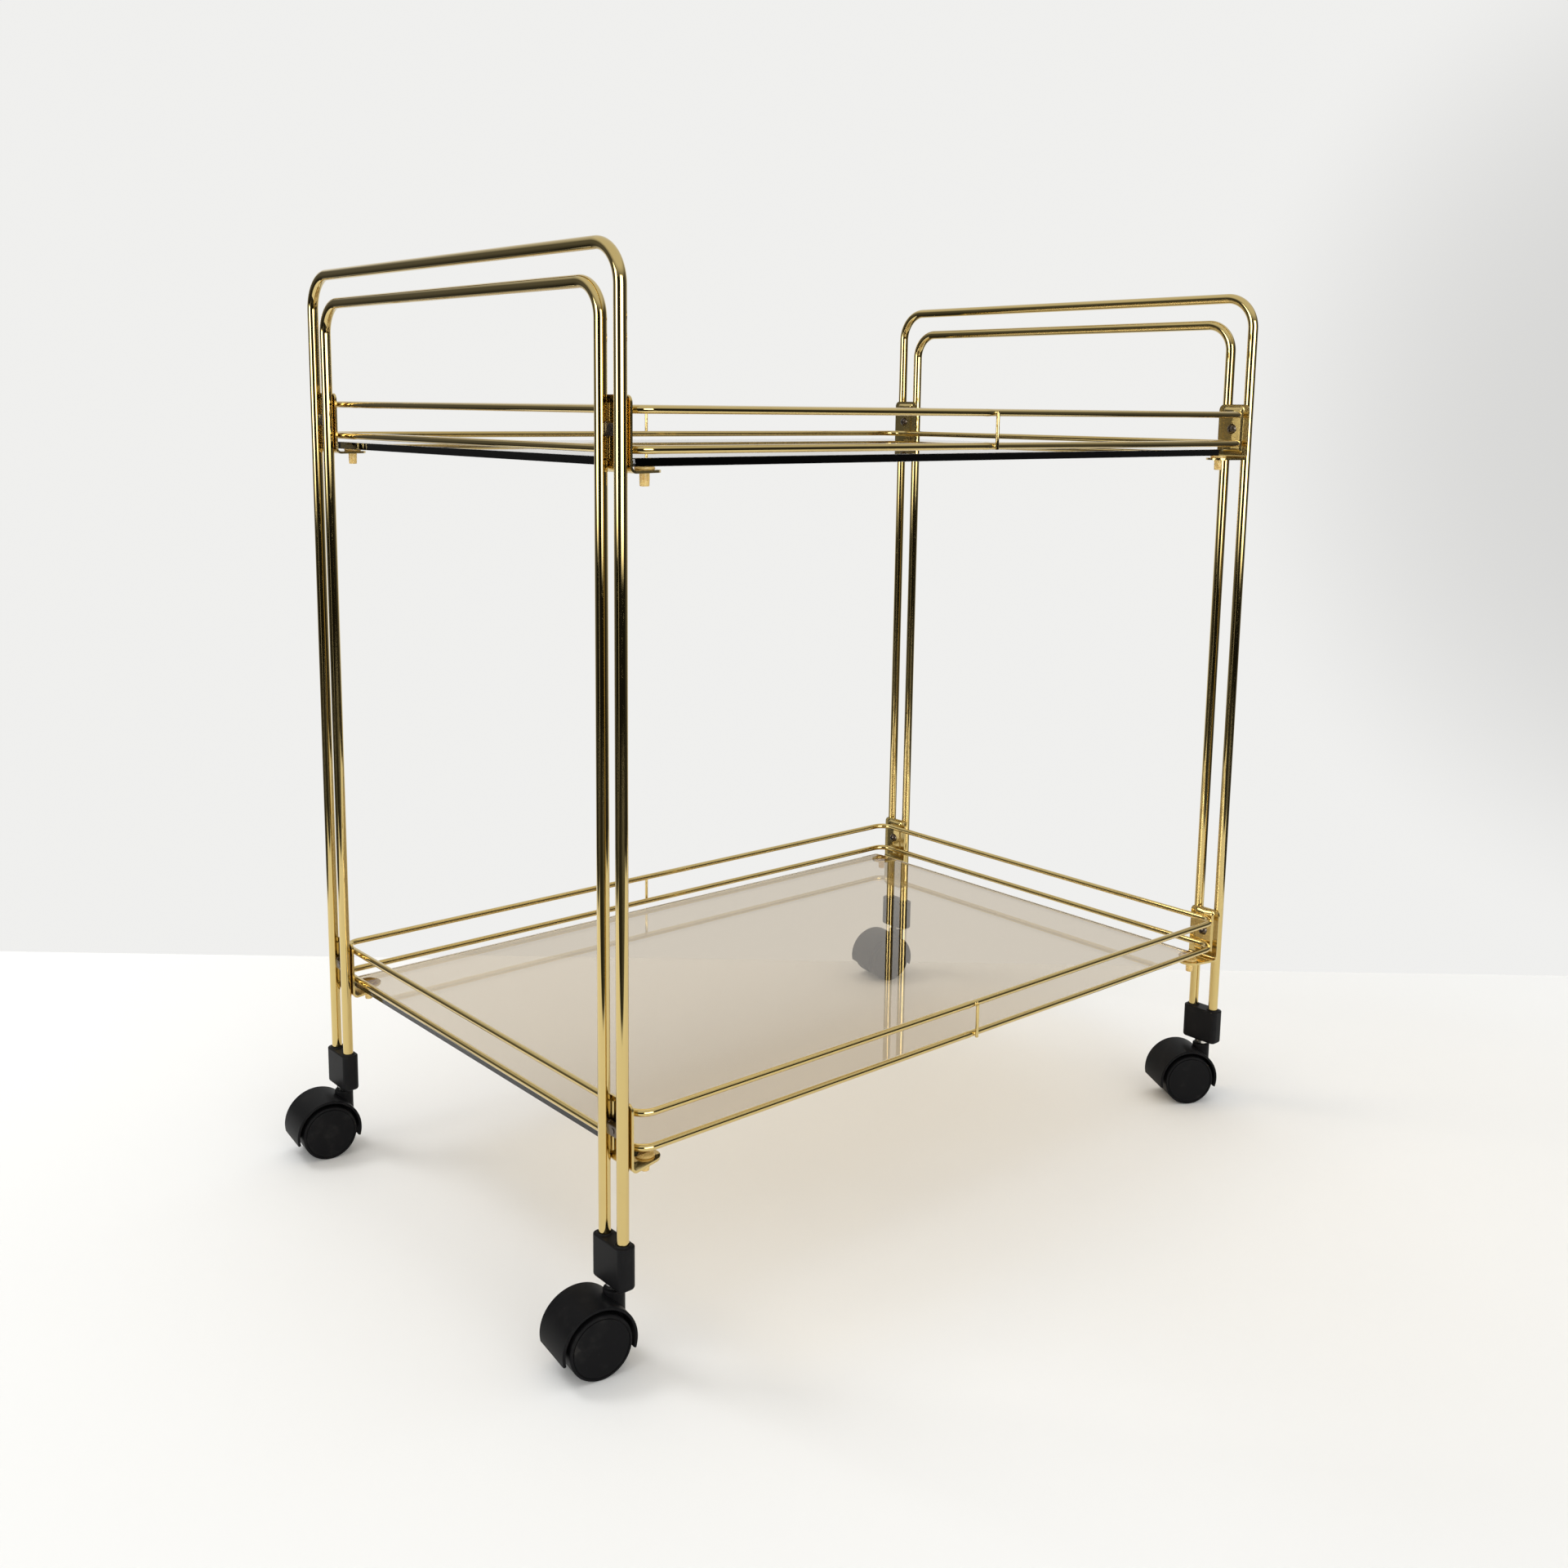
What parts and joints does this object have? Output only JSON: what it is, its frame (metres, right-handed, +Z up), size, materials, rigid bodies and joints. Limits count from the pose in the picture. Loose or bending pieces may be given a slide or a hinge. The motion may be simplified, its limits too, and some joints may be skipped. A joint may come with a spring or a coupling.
{
  "type": "two-tier serving trolley",
  "caption": "Serving trolley with bent-tube end frames, glass shelves inside wire rails, and hooded twin-wheel swivel casters.",
  "frame": {"origin": "on the floor under the centre of the trolley's box; the frame stands 17 mm towards +X of it because the casters trail to -X", "axes": "+X along the shelves from the left end frame to the right one, +Y to the back, +Z up"},
  "size_m": [0.6588, 0.4064, 0.6618],
  "materials": {
    "tube_brass": "polished brass plating on steel tube, dulled and scratched with age",
    "wire_brass": "polished brass plating on steel wire, lightly tarnished",
    "sheet_brass": "polished brass plating on pressed steel sheet",
    "screw_steel": "dark oxidised steel",
    "stem_steel": "bright zinc-plated steel",
    "smoked_glass": "clear bronze-smoked glass with ground edges",
    "bumper_plastic": "soft clear plastic, yellowed with age",
    "socket_plastic": "satin black moulded plastic",
    "hood_plastic": "black moulded nylon, scuffed",
    "wheel_plastic": "black moulded nylon, worn on the tread"
  },
  "bodies": {
    "frame": {"outer_hoop_left": "tube_brass", "inner_hoop_left": "tube_brass", "outer_hoop_right": "tube_brass", "inner_hoop_right": "tube_brass", "hoop_bridges_left": "screw_steel", "hoop_bridges_right": "screw_steel", "upper_shelf_top_rail": "wire_brass", "upper_shelf_bottom_rail": "wire_brass", "upper_shelf_struts": "wire_brass", "lower_shelf_top_rail": "wire_brass", "lower_shelf_bottom_rail": "wire_brass", "lower_shelf_struts": "wire_brass", "upper_bracket_front_left": "sheet_brass", "upper_bracket_back_left": "sheet_brass", "upper_bracket_front_right": "sheet_brass", "upper_bracket_back_right": "sheet_brass", "lower_bracket_front_left": "sheet_brass", "lower_bracket_back_left": "sheet_brass", "lower_bracket_front_right": "sheet_brass", "lower_bracket_back_right": "sheet_brass", "upper_corner_screws": "screw_steel", "lower_corner_screws": "screw_steel", "upper_glass_bumpers": "bumper_plastic", "lower_glass_bumpers": "bumper_plastic", "upper_glass": "smoked_glass", "lower_glass": "smoked_glass", "socket_front_left": "socket_plastic", "socket_back_left": "socket_plastic", "socket_front_right": "socket_plastic", "socket_back_right": "socket_plastic", "stem_front_left": "stem_steel", "stem_back_left": "stem_steel", "stem_front_right": "stem_steel", "stem_back_right": "stem_steel", "stem_grip_rings": "stem_steel"},
    "caster_front_left": {"caster_body_front_left": "hood_plastic", "axle_front_left": "stem_steel"},
    "wheel_out_front_left": {"wheel_out_front_left": "wheel_plastic"},
    "wheel_in_front_left": {"wheel_in_front_left": "wheel_plastic"},
    "caster_back_left": {"caster_body_back_left": "hood_plastic", "axle_back_left": "stem_steel"},
    "wheel_out_back_left": {"wheel_out_back_left": "wheel_plastic"},
    "wheel_in_back_left": {"wheel_in_back_left": "wheel_plastic"},
    "caster_front_right": {"caster_body_front_right": "hood_plastic", "axle_front_right": "stem_steel"},
    "wheel_out_front_right": {"wheel_out_front_right": "wheel_plastic"},
    "wheel_in_front_right": {"wheel_in_front_right": "wheel_plastic"},
    "caster_back_right": {"caster_body_back_right": "hood_plastic", "axle_back_right": "stem_steel"},
    "wheel_out_back_right": {"wheel_out_back_right": "wheel_plastic"},
    "wheel_in_back_right": {"wheel_in_back_right": "wheel_plastic"}
  },
  "joints": [
    {"name": "swivel_front_left", "type": "hinge", "parent": "frame", "child": "caster_front_left", "pos_m": [-0.283, -0.1815, 0.043], "axis": [0, 0, 1], "continuous": true},
    {"name": "spin_out_front_left", "type": "hinge", "parent": "caster_front_left", "child": "wheel_out_front_left", "pos_m": [-0.29983, -0.17913, 0.0205], "axis": [0.1392, 0.9903, 0], "continuous": true},
    {"name": "spin_in_front_left", "type": "hinge", "parent": "caster_front_left", "child": "wheel_in_front_left", "pos_m": [-0.29983, -0.17913, 0.0205], "axis": [0.1392, 0.9903, 0], "continuous": true},
    {"name": "swivel_back_left", "type": "hinge", "parent": "frame", "child": "caster_back_left", "pos_m": [-0.283, 0.1815, 0.043], "axis": [0, 0, 1], "continuous": true},
    {"name": "spin_out_back_left", "type": "hinge", "parent": "caster_back_left", "child": "wheel_out_back_left", "pos_m": [-0.29987, 0.18357, 0.0205], "axis": [0.1219, 0.9925, 0], "continuous": true},
    {"name": "spin_in_back_left", "type": "hinge", "parent": "caster_back_left", "child": "wheel_in_back_left", "pos_m": [-0.29987, 0.18357, 0.0205], "axis": [0.1219, 0.9925, 0], "continuous": true},
    {"name": "swivel_front_right", "type": "hinge", "parent": "frame", "child": "caster_front_right", "pos_m": [0.317, -0.1815, 0.043], "axis": [0, 0, 1], "continuous": true},
    {"name": "spin_out_front_right", "type": "hinge", "parent": "caster_front_right", "child": "wheel_out_front_right", "pos_m": [0.30228, -0.173, 0.0205], "axis": [0.5, 0.866, 0], "continuous": true},
    {"name": "spin_in_front_right", "type": "hinge", "parent": "caster_front_right", "child": "wheel_in_front_right", "pos_m": [0.30228, -0.173, 0.0205], "axis": [0.5, 0.866, 0], "continuous": true},
    {"name": "swivel_back_right", "type": "hinge", "parent": "frame", "child": "caster_back_right", "pos_m": [0.317, 0.1815, 0.043], "axis": [0, 0, 1], "continuous": true},
    {"name": "spin_out_back_right", "type": "hinge", "parent": "caster_back_right", "child": "wheel_out_back_right", "pos_m": [0.30037, 0.18503, 0.0205], "axis": [0.2079, 0.9781, 0], "continuous": true},
    {"name": "spin_in_back_right", "type": "hinge", "parent": "caster_back_right", "child": "wheel_in_back_right", "pos_m": [0.30037, 0.18503, 0.0205], "axis": [0.2079, 0.9781, 0], "continuous": true}
  ]
}
